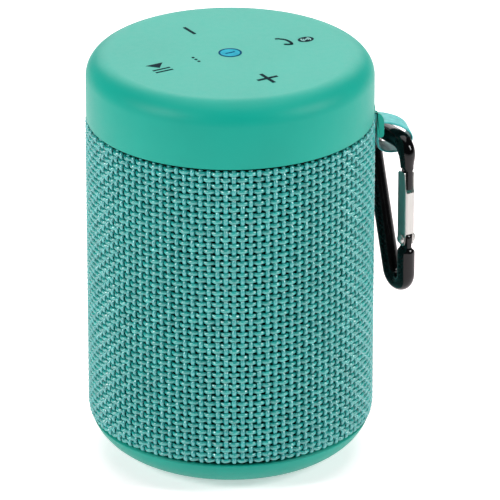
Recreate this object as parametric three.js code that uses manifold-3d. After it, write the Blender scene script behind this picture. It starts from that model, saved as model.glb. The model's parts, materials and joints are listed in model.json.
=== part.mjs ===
// Portable cylindrical speaker with a woven sleeve, a rubber cap and a carabiner on a strap.
// Millimetres, +Z up, front towards -Y. The origin is the centre of the foot pad's underside.
import * as THREE from "three";
import { mergeVertices } from "three/addons/utils/BufferGeometryUtils.js";
import Module from "manifold-3d";

// Outer form
const HEIGHT = 111.5;
const BODY_R = 38;
const SLEEVE_R = 38.3;
const SLEEVE_WALL = 1.8;
const SEAM_Z = 93.7;
const TOP_EDGE_RUN = 6.3;
const TOP_EDGE_RISE = 6;
const FOOT_EDGE_RUN = 15.5;
const FOOT_EDGE_RISE = 12.8;
const SLEEVE_LOW_Z = 9.8;
const GRILLE_R = 35.8;
const CAP_WALL = 1.8;
const RING_SEGMENTS = 32;

// Enclosure
const TUBE_R = 34.3;
const TUBE_INNER_R = 31.6;
const TUBE_LOW_Z = 9.6;
const TUBE_TOP_Z = 100;
const BAFFLE_FRONT = 24;
const BAFFLE_BACK = 21.5;
const BAFFLE_HALF_WIDTH = 24;
const WINDOW_HALF = 23.5;
const SPEAKER_R = 22.5;
const DRIVER_Z = 50;
const RADIATOR_Z = 55;
const BAFFLE_HOLE_R = 20;

// Keys under the cap
const BOARD_Z = 100.9;
const BOARD_THICK = 1.4;
const DECK_Z = 104.6;
const DECK_THICK = 2;
const DECK_R = 34;
const KEYS = [
  { name: "volume_down_key", x: -10.8, y: 15.8, r: 4.4 },
  { name: "call_pair_key", x: 17, y: 8.4, r: 5.6 },
  { name: "play_pause_key", x: -18.3, y: -11.3, r: 4.4 },
  { name: "volume_up_key", x: 9.75, y: -18, r: 4.4 },
  { name: "power_key", x: 0, y: 0, r: 2.6 },
];

// Screws
const SCREW_R = 0.9;
const SCREW_HOLE_R = 1.2;
const DECK_SCREW_PITCH_R = 29.2;
const BASE_SCREW_PITCH_R = 21;
const DRIVER_SCREW_PITCH_R = 20.9;

// Electronics
const MAIN_BOARD_Z = 15.9;
const PORT_LOW_Z = 15.9;
const PORT_HIGH_Z = 22.7;
const PORT_HALF_WIDTH = 7.2;
const BATTERY_Y = 10.5;
const BATTERY_R = 9.1;

// Lug, strap and carabiner
const LUG_AZIMUTH = THREE.MathUtils.degToRad(9.8);
const STRAP_BAR = { r: 40.25, z: 89.1, radius: 0.7 };
const STRAP_WIDTH = 7.6;
const STRAP_THICK = 0.65;
const STRAP_SHEAR = 0.36;
const EAR_THICK = 1.4;
const EAR_GAP = 0.3;
const HOOK_FOOT = new THREE.Vector3(46.8, 2.3, 0);
const HOOK_AZIMUTH = THREE.MathUtils.degToRad(-58);
const WIRE_R = 2.35;
const HOOK_TOP_Z = 84.7;
const HOOK_LOW_Z = 43.65;
const NOSE_SHOULDER_Z = 77.2;
const TANG_SHOULDER_Z = 55.2;
const RIVET_Z = 57.6;
const GATE_TOP_Z = 76.8;
const BLADE_THICK = 1.7;

const TEAL = 0x1da390;
const COLOURS = {
  cap: [0x5fc4b4, 0.55, 0],
  weave: [0x46beaf, 0.9, 0],
  base: [0x32aa96, 0.5, 0],
  strap: [0x78d7d7, 0.6, 0],
  black: [0x14161a, 0.25, 0.4],
  steel: [0xb8bcc0, 0.3, 0.9],
  darkSteel: [0x4a4d50, 0.45, 0.8],
  plastic: [0x24272b, 0.6, 0],
  board: [0x1f5a3c, 0.5, 0],
  chip: [0x17181a, 0.4, 0],
  key: [0x9fa8a8, 0.5, 0],
  light: [0xcff6ff, 0.2, 0],
  paper: [0x2b2c2e, 0.85, 0],
  copper: [0xb06a3a, 0.4, 0.8],
  spider: [0xc9a257, 0.9, 0],
  battery: [0x3a78b4, 0.4, 0],
  seal: [0x202224, 0.8, 0],
  flap: [TEAL, 0.6, 0],
};

const wasm = await Module();
wasm.setup();

const speaker = new THREE.Group();

function add(name, geometry, look, parent = speaker) {
  const [color, roughness, metalness] = COLOURS[look];
  const material = new THREE.MeshStandardMaterial({ color, roughness, metalness });
  const mesh = new THREE.Mesh(geometry, material);
  mesh.name = name;
  parent.add(mesh);
  return mesh;
}

// A closed geometry as a manifold-3d solid.
function solid(geometry) {
  const bare = geometry.index ? geometry.toNonIndexed() : geometry.clone();
  bare.deleteAttribute("normal");
  bare.deleteAttribute("uv");
  const merged = mergeVertices(bare, 1e-3);
  const vertProperties = merged.attributes.position.array;
  const triVerts = new Uint32Array(merged.index.array);
  return new wasm.Manifold(new wasm.Mesh({ numProp: 3, vertProperties, triVerts }));
}

function geometryOf(body) {
  const mesh = body.getMesh();
  const geometry = new THREE.BufferGeometry();
  const flat = new Float32Array(mesh.numVert * 3);
  for (let i = 0; i < mesh.numVert; i++) {
    flat.set(mesh.vertProperties.subarray(i * mesh.numProp, i * mesh.numProp + 3), i * 3);
  }
  geometry.setAttribute("position", new THREE.BufferAttribute(flat, 3));
  geometry.setIndex(new THREE.BufferAttribute(mesh.triVerts, 1));
  return geometry;
}

const join = (...parts) => geometryOf(parts.map(solid).reduce((a, b) => a.add(b)));

function cut(geometry, ...tools) {
  return geometryOf(tools.map(solid).reduce((a, b) => a.subtract(b), solid(geometry)));
}

// A profile of [radius, height] points turned about +Z. It closes on the axis or on itself.
function turned(profile, segments = RING_SEGMENTS) {
  const points = profile.map(([r, z]) => new THREE.Vector2(r, z));
  if (THREE.ShapeUtils.area(points) < 0) points.reverse();
  const onAxis = points.filter((p) => p.x === 0).length;
  if (onAxis) {
    while (!(points[0].x === 0 && points.at(-1).x === 0)) points.push(points.shift());
  } else {
    points.push(points[0].clone());
  }
  return new THREE.LatheGeometry(points, segments).rotateX(Math.PI / 2);
}

const ring = (inner, outer, low, high, segments) =>
  turned([[inner, low], [outer, low], [outer, high], [inner, high]], segments);

const disc = (r, low, high, segments) =>
  turned([[0, low], [r, low], [r, high], [0, high]], segments);

function box(x0, x1, y0, y1, z0, z1) {
  const geometry = new THREE.BoxGeometry(x1 - x0, y1 - y0, z1 - z0);
  return geometry.translate((x0 + x1) / 2, (y0 + y1) / 2, (z0 + z1) / 2);
}

// A shape drawn in X and Z, given thickness along Y from y0 to y1.
function plateXZ(shape, y0, y1, curveSegments = 5) {
  const options = { depth: y1 - y0, bevelEnabled: false, curveSegments };
  return new THREE.ExtrudeGeometry(shape, options).rotateX(Math.PI / 2).translate(0, y1, 0);
}

function circlePoints(count, pitchR, start = 0) {
  return Array.from({ length: count }, (_, i) => {
    const angle = start + (i / count) * 2 * Math.PI;
    return [pitchR * Math.cos(angle), pitchR * Math.sin(angle)];
  });
}

// An elliptical corner between a wall and a flat, as [radius, height] points.
function corner(wallR, run, levelZ, rise, side, from, to, steps) {
  return Array.from({ length: steps + 1 }, (_, i) => {
    const angle = from + (to - from) * (i / steps);
    return [wallR - run + run * Math.cos(angle), levelZ + side * rise * Math.sin(angle)];
  });
}

const footAngle = (z) => Math.asin((FOOT_EDGE_RISE - z) / FOOT_EDGE_RISE);

function footCurve(wallR, lowZ, highZ, steps) {
  const from = footAngle(lowZ);
  const to = footAngle(highZ);
  return corner(wallR, FOOT_EDGE_RUN, FOOT_EDGE_RISE, FOOT_EDGE_RISE, -1, from, to, steps);
}

function screw(headR, headHigh, length, tipZ) {
  const top = tipZ + length;
  return turned([[0, tipZ], [SCREW_R, tipZ], [SCREW_R, top], [headR, top],
    [headR, top + headHigh * 0.6], [headR * 0.7, top + headHigh], [0, top + headHigh]], 8);
}

// ---- Cap with its two lug ears, and the pin between them ----

function earShape() {
  const outerR = 41.4;
  const innerR = SLEEVE_R + 0.4;
  const toeR = (outerR - innerR) / 2;
  const shape = new THREE.Shape();
  shape.moveTo(BODY_R - 1.2, SEAM_Z + 0.9);
  shape.lineTo(BODY_R - 1.2, SEAM_Z + 0.2);
  shape.lineTo(innerR, SEAM_Z + 0.2);
  shape.lineTo(innerR, STRAP_BAR.z - 0.3);
  shape.absarc(innerR + toeR, STRAP_BAR.z - 0.3, toeR, Math.PI, 2 * Math.PI, false);
  shape.lineTo(outerR, STRAP_BAR.z + 2);
  shape.quadraticCurveTo(outerR - 0.2, SEAM_Z + 0.6, BODY_R + 0.3, SEAM_Z + 0.9);
  const hole = new THREE.Path();
  hole.absarc(STRAP_BAR.r, STRAP_BAR.z, STRAP_BAR.radius + 0.25, 0, 2 * Math.PI, true);
  shape.holes.push(hole);
  return shape;
}

function makeCap() {
  const wallTop = HEIGHT - TOP_EDGE_RISE;
  const half = Math.PI / 2;
  const low = SEAM_Z + 0.2;
  const outer = corner(BODY_R, TOP_EDGE_RUN, wallTop, TOP_EDGE_RISE, 1, 0, half, 5);
  const inner = corner(BODY_R - CAP_WALL, TOP_EDGE_RUN - CAP_WALL, wallTop,
    TOP_EDGE_RISE - CAP_WALL, 1, half, 0, 2);
  const shell = turned([[BODY_R, low], ...outer, [0, HEIGHT], [0, HEIGHT - CAP_WALL],
    ...inner, [BODY_R - CAP_WALL, low]]);
  const near = STRAP_WIDTH / 2 + EAR_GAP;
  const ears = [near, -near - EAR_THICK].map((y) =>
    plateXZ(earShape(), y, y + EAR_THICK).rotateZ(LUG_AZIMUTH));
  add("top_cap", join(shell, ...ears), "cap");
}

function makeStrap() {
  const lug = new THREE.Group();
  lug.rotation.z = LUG_AZIMUTH;
  speaker.add(lug);

  const half = STRAP_WIDTH / 2 + EAR_GAP + EAR_THICK - 0.2;
  const bar = new THREE.CylinderGeometry(STRAP_BAR.radius, STRAP_BAR.radius, 2 * half, 12);
  add("strap_bar", bar.translate(STRAP_BAR.r, 0, STRAP_BAR.z), "steel", lug);

  const corners = [[39.02, 88.7], [39.12, 85], [39.8, 82.3], [42.2, 80.95], [45.6, 81.1],
    [47.8, 82.4], [48.35, 85.1], [46.5, 88.1], [43.4, 89.9], [40.6, 90.6], [39.35, 90.1]];
  const path = new THREE.CatmullRomCurve3(
    corners.map(([r, z]) => new THREE.Vector3(r, z, 0)), true);
  const count = 32;
  const offset = (side) => Array.from({ length: count }, (_, i) => {
    const p = path.getPointAt(i / count);
    const t = path.getTangentAt(i / count);
    return new THREE.Vector2(p.x + side * t.y, p.y - side * t.x);
  });
  const shape = new THREE.Shape(offset(STRAP_THICK / 2));
  shape.holes.push(new THREE.Path(offset(-STRAP_THICK / 2)));
  const loop = plateXZ(shape, -STRAP_WIDTH / 2, STRAP_WIDTH / 2);
  const at = loop.attributes.position;
  for (let i = 0; i < at.count; i++) {
    at.setY(i, at.getY(i) + STRAP_SHEAR * Math.max(0, STRAP_BAR.z - 1.5 - at.getZ(i)));
  }
  add("strap_loop", loop, "strap", lug);
}

// ---- Carabiner: X runs from the spine to the gate, Y across the wire, Z up ----

// An arc in the X and Z plane.
class PlaneArc extends THREE.Curve {
  constructor(x, z, radius, from, to) {
    super();
    Object.assign(this, { x, z, radius, from, to });
  }

  getPoint(t, target = new THREE.Vector3()) {
    const angle = this.from + (this.to - this.from) * t;
    const x = this.x + this.radius * Math.cos(angle);
    return target.set(x, 0, this.z + this.radius * Math.sin(angle));
  }
}

function hookWire() {
  const lean = THREE.MathUtils.degToRad(16.5);
  const turnR = 3.57;
  const backR = 5.5;
  const frontR = 4;
  const spineCornerX = -11;
  const bottomZ = HOOK_LOW_Z + turnR;
  const backZ = HOOK_TOP_Z - backR;
  const frontZ = HOOK_TOP_Z - frontR;
  const at = (x, z) => new THREE.Vector3(x, 0, z);
  const bottom = new PlaneArc(-turnR, bottomZ, turnR, 0, -Math.PI + lean);
  const back = new PlaneArc(spineCornerX, backZ, backR, Math.PI + lean, Math.PI / 2);
  const front = new PlaneArc(-frontR, frontZ, frontR, Math.PI / 2, 0);
  const path = new THREE.CurvePath();
  path.add(new THREE.LineCurve3(at(0, TANG_SHOULDER_Z), at(0, bottomZ)));
  path.add(bottom);
  path.add(new THREE.LineCurve3(bottom.getPoint(1), back.getPoint(0)));
  path.add(back);
  path.add(new THREE.LineCurve3(back.getPoint(1), front.getPoint(0)));
  path.add(front);
  path.add(new THREE.LineCurve3(at(0, frontZ), at(0, NOSE_SHOULDER_Z)));
  const section = new THREE.Shape(
    circlePoints(10, WIRE_R).map(([x, y]) => new THREE.Vector2(x, y)));
  return new THREE.ExtrudeGeometry(section,
    { steps: 46, bevelEnabled: false, extrudePath: path });
}

function makeCarabiner() {
  const hook = new THREE.Group();
  hook.position.copy(HOOK_FOOT);
  hook.rotation.z = HOOK_AZIMUTH;
  speaker.add(hook);

  const tangR = 1.7;
  const tang = new THREE.Shape();
  tang.moveTo(tangR, TANG_SHOULDER_Z - 2);
  tang.lineTo(tangR, RIVET_Z);
  tang.absarc(0, RIVET_Z, tangR, 0, Math.PI, false);
  tang.lineTo(-tangR, TANG_SHOULDER_Z - 2);
  const eye = new THREE.Path();
  eye.absarc(0, RIVET_Z, 0.9, 0, 2 * Math.PI, true);
  tang.holes.push(eye);
  const half = BLADE_THICK / 2;
  const noseLow = 71.6;
  const tongue = box(-1.7, 1.7, -half, half, noseLow, NOSE_SHOULDER_Z + 2);
  const wire = hookWire();
  add("carabiner_body", join(wire, plateXZ(tang, -half, half), tongue), "black", hook);

  const sheet = 0.4;
  const innerHalf = half + 0.3;
  const depth = 1.9;
  const side = new THREE.Shape();
  side.moveTo(depth, RIVET_Z);
  side.lineTo(depth, GATE_TOP_Z);
  side.lineTo(-depth, GATE_TOP_Z);
  side.lineTo(-depth, RIVET_Z);
  side.absarc(0, RIVET_Z, depth, Math.PI, 2 * Math.PI, false);
  const bore = new THREE.Path();
  bore.absarc(0, RIVET_Z, 0.9, 0, 2 * Math.PI, true);
  side.holes.push(bore);
  const walls = [innerHalf, -innerHalf - sheet].map((y) => plateXZ(side, y, y + sheet));
  const web = box(depth - sheet, depth, -innerHalf - sheet, innerHalf + sheet,
    RIVET_Z + 1.6, noseLow - 0.5);
  add("carabiner_gate", join(...walls, web), "steel", hook);

  const leaf = box(0.65, 1.05, -0.7, 0.7, RIVET_Z + 2.6, RIVET_Z + 10);
  const foot = box(0.65, depth - sheet + 0.1, -0.7, 0.7, RIVET_Z + 9, RIVET_Z + 10);
  add("gate_spring", cut(join(leaf, foot), box(depth - sheet - 0.25, 3, -2, 2, 50, 80)),
    "steel", hook);

  const headR = 1.35;
  const headIn = innerHalf + sheet + 0.25;
  const headOut = headIn + 0.9;
  const pinR = 0.6;
  const rivet = turned([[0, -headOut], [headR * 0.7, -headOut], [headR, -headOut + 0.4],
    [headR, -headIn], [pinR, -headIn], [pinR, headIn], [headR, headIn],
    [headR, headOut - 0.4], [headR * 0.7, headOut], [0, headOut]], 12);
  add("gate_rivet", rivet.rotateX(Math.PI / 2).translate(0, 0, RIVET_Z), "steel", hook);
}

// ---- Side: woven sleeve, steel grille, and the port in the rear ----

const portWindow = () =>
  box(-PORT_HALF_WIDTH - 2.1, PORT_HALF_WIDTH + 2.1, 30, 45, PORT_LOW_Z - 2, PORT_HIGH_Z + 2);

function makeSide() {
  const innerR = SLEEVE_R - SLEEVE_WALL;
  const top = SEAM_Z - 0.3;
  const sleeve = turned([...footCurve(SLEEVE_R, SLEEVE_LOW_Z, FOOT_EDGE_RISE, 3),
    [SLEEVE_R, top], [innerR, top],
    ...footCurve(innerR, SLEEVE_LOW_Z, FOOT_EDGE_RISE, 3).reverse()]);
  add("fabric_sleeve", cut(sleeve, portWindow()), "weave");
  const grille = ring(GRILLE_R - 0.6, GRILLE_R, SLEEVE_LOW_Z + 2.6, SEAM_Z - 0.5);
  add("grille_tube", cut(grille, portWindow()), "darkSteel");
  add("lid_seal", ring(34.7, 35.9, SEAM_Z + 0.8, SEAM_Z + 2), "seal");
}

function makePort() {
  const gap = 0.4;
  const flapOuter = 38.7;
  const segments = 4 * RING_SEGMENTS;
  const bezelBlock = box(-PORT_HALF_WIDTH - 1.8, PORT_HALF_WIDTH + 1.8, 30, 45,
    PORT_LOW_Z - 1.7, PORT_HIGH_Z + 1.7);
  const mouth = box(-PORT_HALF_WIDTH - gap, PORT_HALF_WIDTH + gap, 30, 45,
    PORT_LOW_Z - gap, PORT_HIGH_Z + gap);
  const bezel = solid(ring(32, 38.5, 10, 30, segments)).intersect(solid(bezelBlock));
  add("port_bezel", geometryOf(bezel.subtract(solid(mouth))), "plastic");
  const flapBlock = box(-PORT_HALF_WIDTH, PORT_HALF_WIDTH, 30, 45, PORT_LOW_Z, PORT_HIGH_Z);
  const flap = solid(ring(37.3, flapOuter, 10, 30, segments)).intersect(solid(flapBlock));
  add("port_cover", geometryOf(flap), "flap");
}

// ---- Foot ----

function makeFoot() {
  const lipZ = 0.9;
  const outerTop = SLEEVE_LOW_Z - 0.4;
  const profile = [[24.2, lipZ], ...footCurve(BODY_R, lipZ, outerTop, 4),
    [34.9, outerTop], [32.6, 8.4], [31, 5.6], [27.6, 2.6], [24.2, 2.6]];
  add("base_ring", turned(profile), "base");
  add("foot_pad", turned([[0, 0], [23.2, 0], [23.9, 0.7], [23.9, 1.4], [0, 1.4]]), "seal");

  const plate = disc(27, 2.9, 5.9);
  const spots = circlePoints(3, BASE_SCREW_PITCH_R, Math.PI / 6);
  const holes = spots.map(([x, y]) => disc(SCREW_HOLE_R, 0, 8, 8).translate(x, y, 0));
  add("base_plate", cut(plate, ...holes), "plastic");
  spots.forEach(([x, y], i) => {
    const body = screw(2.2, 0.9, 8.6, 0).rotateX(Math.PI).translate(x, y, 11.2);
    add("base_screw_" + (i + 1), body, "darkSteel");
  });
}

// ---- Acoustic enclosure ----

// A baffle is a flat wall across the tube; side is -1 at the front and 1 at the rear.
function baffle(side, low, high) {
  const edges = [side * BAFFLE_BACK, side * BAFFLE_FRONT].sort((a, b) => a - b);
  return box(-BAFFLE_HALF_WIDTH, BAFFLE_HALF_WIDTH, edges[0], edges[1], low, high);
}

function baffleWindow(side, z) {
  const near = side * (BAFFLE_FRONT + 0.1);
  const far = side * 40;
  return box(-WINDOW_HALF, WINDOW_HALF, Math.min(near, far), Math.max(near, far),
    z - WINDOW_HALF, z + WINDOW_HALF);
}

const bore = (r, side, z, x = 0) =>
  new THREE.CylinderGeometry(r, r, 20, 24).translate(x, side * 26, z);

function makeChassis() {
  const tube = ring(TUBE_INNER_R, TUBE_R, TUBE_LOW_Z, TUBE_TOP_Z);
  const ceiling = disc(TUBE_INNER_R + 1, 90, 92);
  const posts = circlePoints(3, DECK_SCREW_PITCH_R, Math.PI / 2).map(([x, y]) =>
    disc(2.6, 91, TUBE_TOP_Z, 12).translate(x, y, 0));
  const bosses = circlePoints(3, BASE_SCREW_PITCH_R, Math.PI / 6).map(([x, y]) =>
    disc(2.6, 6.3, 12.6, 12).translate(x, y, 0));
  const ribs = bosses.map((_, i) => {
    const angle = Math.PI / 6 + (i * 2 * Math.PI) / 3;
    return box(BASE_SCREW_PITCH_R + 1.6, TUBE_INNER_R + 1, -1.2, 1.2, TUBE_LOW_Z, 12.6)
      .rotateZ(angle);
  });
  const walls = [baffle(-1, 20, 80), baffle(1, 27, 84)];
  const drills = [
    ...circlePoints(3, DECK_SCREW_PITCH_R, Math.PI / 2).map(([x, y]) =>
      disc(SCREW_HOLE_R, 92.5, 110, 8).translate(x, y, 0)),
    ...circlePoints(3, BASE_SCREW_PITCH_R, Math.PI / 6).map(([x, y]) =>
      disc(SCREW_HOLE_R, 0, 12, 8).translate(x, y, 0)),
    ...circlePoints(3, DRIVER_SCREW_PITCH_R, Math.PI / 2).map(([x, z]) =>
      new THREE.CylinderGeometry(1, 1, 10, 8).translate(x, -24, DRIVER_Z + z)),
  ];
  const body = join(tube, ceiling, ...posts, ...bosses, ...ribs, ...walls);
  add("chassis", cut(body, baffleWindow(-1, DRIVER_Z), baffleWindow(1, RADIATOR_Z),
    bore(BAFFLE_HOLE_R, -1, DRIVER_Z), bore(BAFFLE_HOLE_R, 1, RADIATOR_Z),
    portWindow(), ...drills), "plastic");
}

// ---- Driver: profiles are [radius, height out from the baffle] ----

function makeDriver() {
  const seat = new THREE.Group();
  seat.position.set(0, -BAFFLE_FRONT, DRIVER_Z);
  seat.rotation.x = Math.PI / 2;
  speaker.add(seat);
  const fine = 20;

  const holes = circlePoints(3, DRIVER_SCREW_PITCH_R, Math.PI / 2).map(([x, y]) =>
    disc(0.95, -5, 5, 8).translate(x, y, 0));
  const basket = turned([[18.4, 0.9], [SPEAKER_R, 0.9], [SPEAKER_R, 2.1], [17.9, 2.1],
    [17.9, 0.6], [11.2, -12.6], [7.2, -12.6], [7.2, -13.8], [12, -13.8], [18.4, -0.9]], fine);
  add("driver_basket", cut(basket, ...holes), "darkSteel", seat);
  add("driver_gasket", cut(ring(19, 22.3, 0.2, 0.6, fine), ...holes), "seal", seat);

  const roll = Array.from({ length: 4 }, (_, i) => {
    const angle = Math.PI - (i / 3) * Math.PI;
    return [16.1 + 1.3 * Math.cos(angle), 1.1 + 1.3 * Math.sin(angle)];
  });
  const under = roll.map(([r, h]) => [r, h - 0.45]).reverse();
  add("driver_surround", turned([...roll, ...under], fine), "seal", seat);
  add("driver_cone", turned([[14.5, 1], [14.5, 0.4], [5.9, -6.9], [5.4, -6.3]], fine),
    "paper", seat);
  const dome = Array.from({ length: 5 }, (_, i) => {
    const angle = (i / 4) * (Math.PI / 2);
    return [5 * Math.cos(angle), -5.9 + 2.4 * Math.sin(angle)];
  });
  dome[4][0] = 0;
  add("dust_cap", turned([...dome, [0, -4], [3.4, -4.9], [4.5, -6.1]], fine), "seal", seat);
  add("voice_coil", ring(4.6, 5.1, -16.2, -6.8, fine), "copper", seat);
  add("driver_spider", turned([[5.5, -8.2], [7.2, -7.6], [8.8, -8.4], [10.6, -7.8],
    [12.6, -8.2], [12.6, -8.7], [10.6, -8.3], [8.8, -8.9], [7.2, -8.1], [5.5, -8.7]], fine),
  "spider", seat);
  add("driver_top_plate", ring(5.6, 12, -16.4, -14.2, fine), "steel", seat);
  add("driver_magnet", ring(6.6, 12.8, -20.4, -16.7, fine), "chip", seat);
  add("driver_yoke", turned([[0, -22.4], [12, -22.4], [12, -20.7], [4.1, -20.7],
    [4.1, -14.2], [0, -14.2]], fine), "steel", seat);
  circlePoints(3, DRIVER_SCREW_PITCH_R, Math.PI / 2).forEach(([x, y], i) => {
    const body = turned([[0, -2.2], [0.6, -2.2], [0.6, 2.4], [1.4, 2.4], [1.4, 2.9],
      [0.8, 3.3], [0, 3.3]], 8);
    add("driver_screw_" + (i + 1), body.translate(x, y, 0), "steel", seat);
  });
}

function makeRadiator() {
  const seat = new THREE.Group();
  seat.position.set(0, BAFFLE_FRONT, RADIATOR_Z);
  seat.rotation.x = -Math.PI / 2;
  speaker.add(seat);
  const fine = 20;
  add("passive_frame", ring(19.3, SPEAKER_R, 0.3, 1.7, fine), "plastic", seat);
  add("passive_surround", turned([[13.9, 0.4], [15, 1.3], [16.5, 1.8], [18, 1.3], [19, 0.4],
    [19, -0.1], [18, 0.8], [16.5, 1.3], [15, 0.8], [13.9, -0.1]], fine), "seal", seat);
  add("passive_weight", turned([[0, -1.2], [12.6, -1.2], [13.5, -0.4], [13.5, 0.9],
    [0, 0.9]], fine), "darkSteel", seat);
}

// ---- Keys, key board and deck ----

function makeDeck() {
  const screwSpots = circlePoints(3, DECK_SCREW_PITCH_R, Math.PI / 2);
  const deckTop = DECK_Z + DECK_THICK;
  const screwHoles = screwSpots.map(([x, y]) =>
    disc(SCREW_HOLE_R, 90, 112, 8).translate(x, y, 0));
  const stemHoles = KEYS.map(({ x, y }) => disc(1.9, 90, 112, 10).translate(x, y, 0));
  const deck = turned([[0, DECK_Z], [32, DECK_Z], [32, TUBE_TOP_Z + 0.4],
    [DECK_R, TUBE_TOP_Z + 0.4], [DECK_R, deckTop], [0, deckTop]]);
  add("top_deck", cut(deck, ...screwHoles, ...stemHoles), "plastic");
  add("key_board", cut(disc(31.4, BOARD_Z, BOARD_Z + BOARD_THICK), ...screwHoles), "board");
  screwSpots.forEach(([x, y], i) => {
    const length = 13.5;
    const body = screw(2.2, 1.1, length, deckTop + 0.3 - length).translate(x, y, 0);
    add("deck_screw_" + (i + 1), body, "darkSteel");
  });

  const chipZ = BOARD_Z + BOARD_THICK + 0.3;
  KEYS.forEach(({ name, x, y, r }) => {
    const stemLow = chipZ + 1.75;
    const cushion = turned([[0, stemLow], [1.5, stemLow], [1.5, deckTop + 0.7],
      [r, deckTop + 0.7], [r, 109], [r - 0.4, 109.3], [0, 109.3]], 12);
    add(name, cushion.translate(x, y, 0), "key");
    add(name.replace("_key", "_switch"),
      box(x - 2.2, x + 2.2, y - 2.2, y + 2.2, chipZ, chipZ + 1.3), "chip");
  });
  add("power_light_pipe", ring(2.95, 3.9, deckTop + 0.3, 109.4, 14), "light");
  add("power_led", box(4.2, 5.8, -0.4, 0.4, chipZ, chipZ + 0.7), "light");
  add("microphone", box(-12.3, -8.9, -7.4, -4.6, chipZ, chipZ + 1), "steel");
}

// ---- Battery, main board and lead ----

function makeElectronics() {
  const cupLow = 19.4;
  const cup = turned([[0, cupLow], [10.4, cupLow], [10.4, 34], [9.5, 34],
    [9.5, cupLow + 1.4], [0, cupLow + 1.4]], 18);
  add("battery_cradle", cup.translate(0, BATTERY_Y, 0), "plastic");
  const cell = turned([[0, 21.1], [BATTERY_R, 21.1], [BATTERY_R, 85.1], [5.5, 85.1],
    [5.5, 86.1], [0, 86.1]], 18);
  add("battery_cell", cell.translate(0, BATTERY_Y, 0), "battery");

  const boardTop = MAIN_BOARD_Z + 1.4;
  add("main_board", disc(29, MAIN_BOARD_Z, boardTop, 24), "board");
  const partLow = boardTop + 0.3;
  const usb = box(-4.5, 4.5, 22, 29.6, partLow, partLow + 3.3);
  const mouth = box(-3.9, 3.9, 24, 31, partLow + 0.5, partLow + 2.8);
  const tongue = box(-2.9, 2.9, 23, 28.6, partLow + 1.35, partLow + 1.95);
  add("usb_port", join(cut(usb, mouth), tongue), "steel");
  add("radio_module", box(-20, -12, -14, -4, partLow, partLow + 1.6), "steel");
  add("amplifier_chip", box(13, 19, -12, -6, partLow, partLow + 1.2), "chip");

  const route = new THREE.CatmullRomCurve3([
    [8, -15, partLow], [8.4, -15.4, 22], [10.6, -17, 28], [12.2, -17.3, 32],
    [12.6, -16.6, 35.5]].map((p) => new THREE.Vector3(...p)));
  const section = new THREE.Shape(circlePoints(8, 0.7).map((p) => new THREE.Vector2(...p)));
  add("speaker_lead", new THREE.ExtrudeGeometry(section,
    { steps: 10, bevelEnabled: false, extrudePath: route }), "seal");
}

makeCap();
makeStrap();
makeCarabiner();
makeSide();
makePort();
makeFoot();
makeChassis();
makeDriver();
makeRadiator();
makeDeck();
makeElectronics();

export default speaker;
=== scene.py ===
"""Portable speaker: woven sleeve, rubber cap with printed keys, ribbon loop and carabiner."""
import json
import math

import bpy
import numpy as np
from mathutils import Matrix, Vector


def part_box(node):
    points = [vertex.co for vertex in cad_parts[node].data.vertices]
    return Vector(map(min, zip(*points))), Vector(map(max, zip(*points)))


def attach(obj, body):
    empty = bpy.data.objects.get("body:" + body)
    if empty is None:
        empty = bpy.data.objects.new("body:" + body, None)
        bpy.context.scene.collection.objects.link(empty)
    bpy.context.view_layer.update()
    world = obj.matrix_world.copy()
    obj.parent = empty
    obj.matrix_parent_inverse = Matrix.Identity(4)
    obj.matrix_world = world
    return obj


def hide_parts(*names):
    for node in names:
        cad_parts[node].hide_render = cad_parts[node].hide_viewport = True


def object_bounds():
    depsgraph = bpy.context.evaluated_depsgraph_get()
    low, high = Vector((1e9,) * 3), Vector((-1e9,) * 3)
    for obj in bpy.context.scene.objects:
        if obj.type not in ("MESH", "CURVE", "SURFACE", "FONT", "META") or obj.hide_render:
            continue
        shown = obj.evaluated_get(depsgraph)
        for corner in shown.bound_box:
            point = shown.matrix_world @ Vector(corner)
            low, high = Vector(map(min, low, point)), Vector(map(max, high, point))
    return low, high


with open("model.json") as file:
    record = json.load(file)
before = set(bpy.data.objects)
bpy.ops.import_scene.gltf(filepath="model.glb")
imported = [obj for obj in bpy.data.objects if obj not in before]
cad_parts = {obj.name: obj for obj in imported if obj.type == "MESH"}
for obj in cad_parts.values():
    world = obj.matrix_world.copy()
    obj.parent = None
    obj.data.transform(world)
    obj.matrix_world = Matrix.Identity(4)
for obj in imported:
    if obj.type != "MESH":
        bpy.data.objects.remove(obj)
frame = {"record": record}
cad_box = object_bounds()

MM = 0.001
TAU = 2 * math.pi
rng = np.random.RandomState(7)


# ---------------------------------------------------------------- sizes from the frame

def node_box(name):
    low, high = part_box(name)
    return np.array(low) / MM, np.array(high) / MM


SLEEVE_LOW, SLEEVE_HIGH = node_box("fabric_sleeve")
CAP_HIGH = node_box("top_cap")[1]
SLEEVE_R = SLEEVE_HIGH[1]
CAP_R = CAP_HIGH[1]
TOP_Z = CAP_HIGH[2]
SEAM_Z = SLEEVE_HIGH[2] + 0.3
SLEEVE_LOW_Z = SLEEVE_LOW[2]
# The run inwards and the rise of the curves at the cap's and the foot's edges.
TOP_EDGE = (6.3, 6.0)
FOOT_EDGE = (15.5, 12.8)
PORT_LOW, PORT_HIGH = node_box("port_bezel")
COVER_LOW, COVER_HIGH = node_box("port_cover")
JOINT = {j["name"]: j for j in frame["record"]["behaviour"]["joints"]}
BAR = Vector(JOINT["strap_swing"]["pos_m"]) / MM
LUG_AZIMUTH = math.atan2(BAR.y, BAR.x)
RIVET = Vector(JOINT["gate_open"]["pos_m"]) / MM
HOOK_U = Vector(JOINT["carabiner_swing"]["axis"])
HOOK_N = Vector((-HOOK_U.y, HOOK_U.x, 0))
HOOK_TOP_Z = JOINT["carabiner_swing"]["pos_m"][2] / MM


# ---------------------------------------------------------------- meshes

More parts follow.
